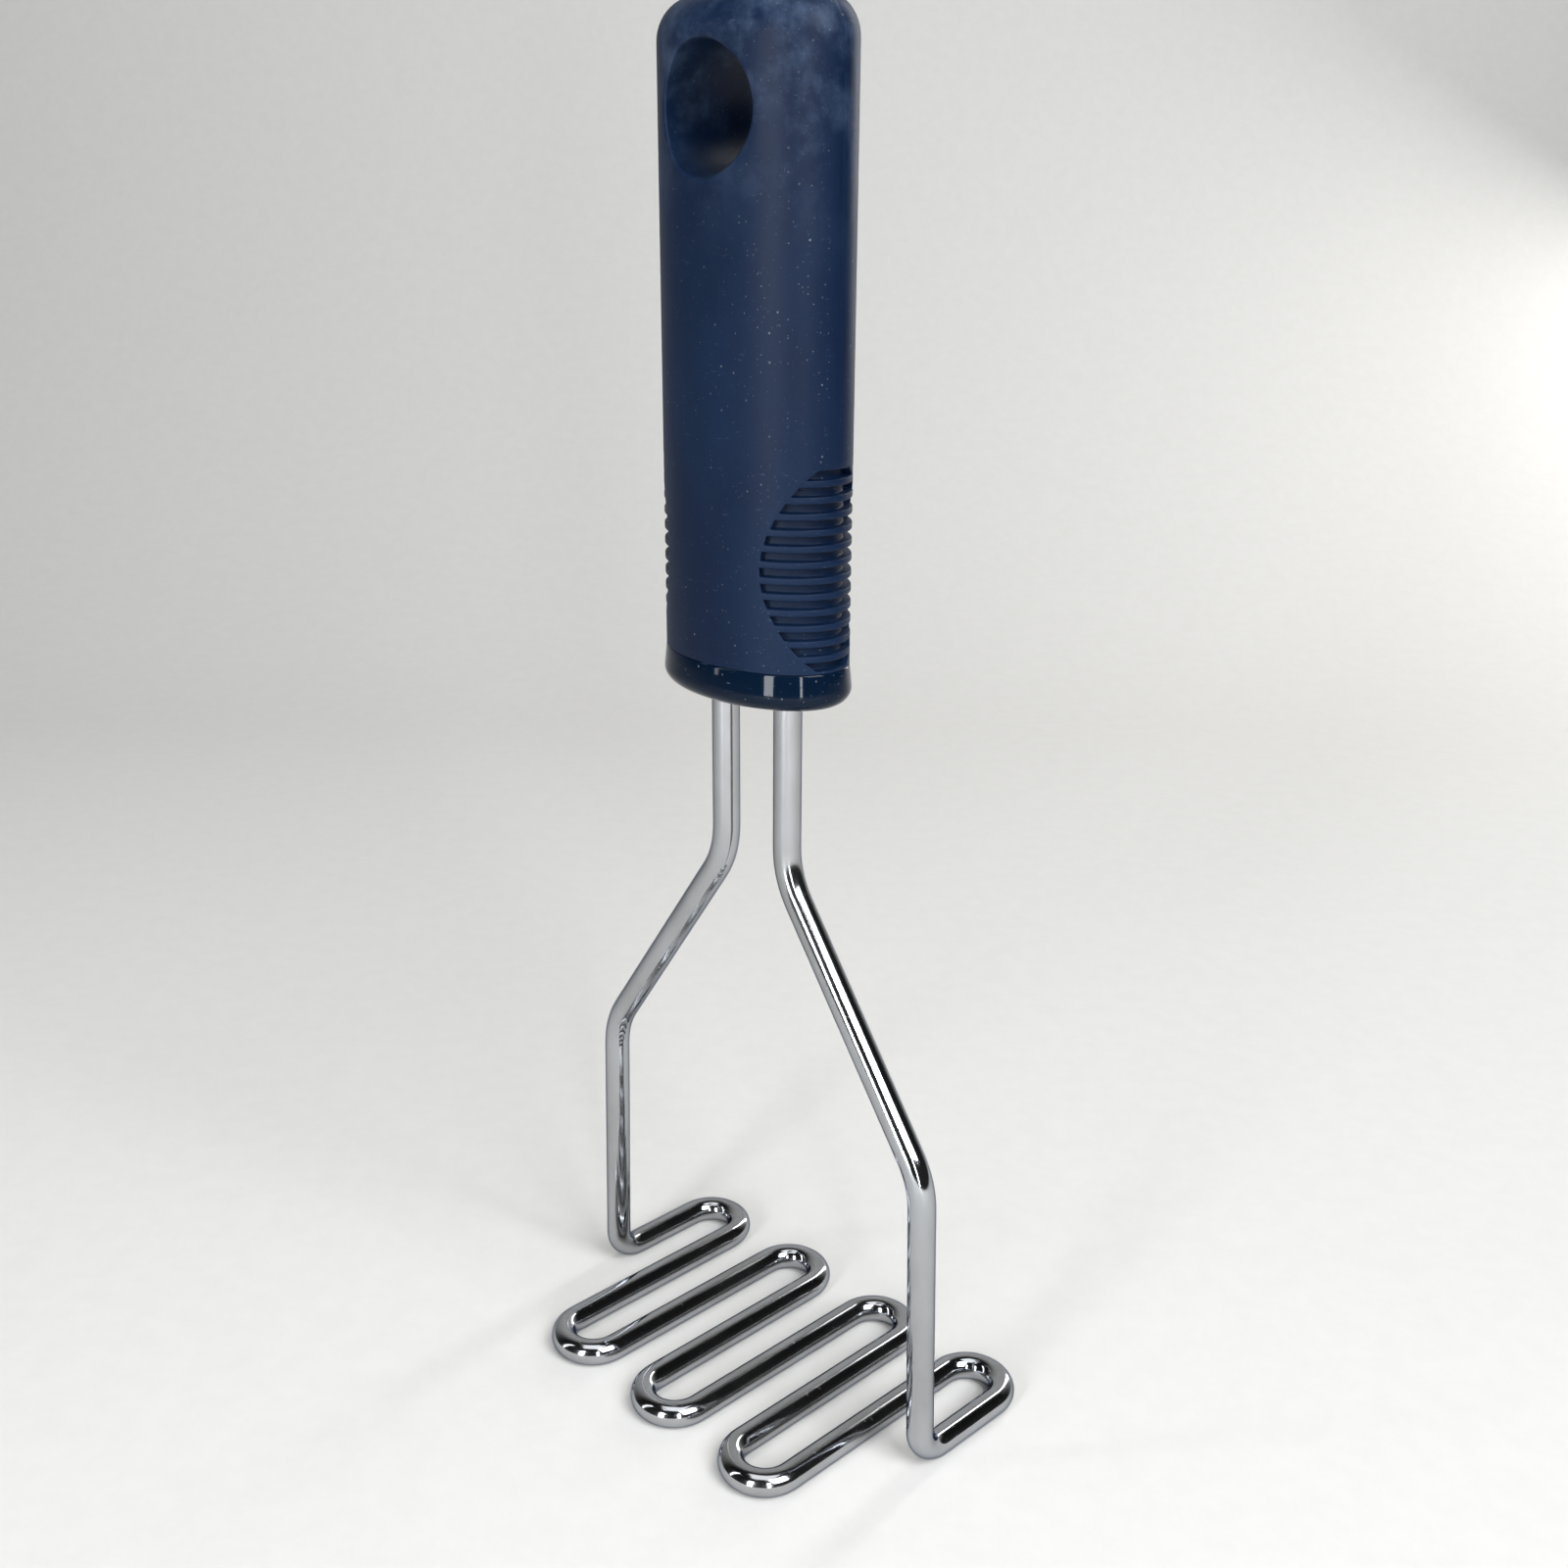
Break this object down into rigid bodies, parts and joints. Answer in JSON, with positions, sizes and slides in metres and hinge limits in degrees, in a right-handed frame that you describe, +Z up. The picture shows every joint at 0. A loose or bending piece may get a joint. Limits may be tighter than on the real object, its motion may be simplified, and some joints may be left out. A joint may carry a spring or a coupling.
{
  "type": "potato masher",
  "caption": "Wire potato masher: a bent polished steel rod forms a zigzag pressing grid and legs, held in a soft finned oval handle with a glossy collar and a hanging hole.",
  "frame": {"origin": "on the surface that the masher stands on, under the middle of the pressing grid and of the handle", "axes": "+Z up the handle, +X across the strokes in the plane of the two legs, +Y along the strokes and along the hanging hole, towards the side with more bends"},
  "size_m": [0.0888, 0.0572, 0.24],
  "materials": {
    "polished_steel": "polished stainless steel rod with fine handling marks",
    "collar_plastic": "glossy, nearly black navy",
    "core_plastic": "plain moulded dark grey, hidden inside the grip",
    "grip_rubber": "soft satin-matte dark navy rubber"
  },
  "bodies": {
    "root": {"masher_wire": "polished_steel", "end_collar": "collar_plastic", "handle_core": "core_plastic", "grip_sleeve": "grip_rubber"}
  },
  "joints": []
}
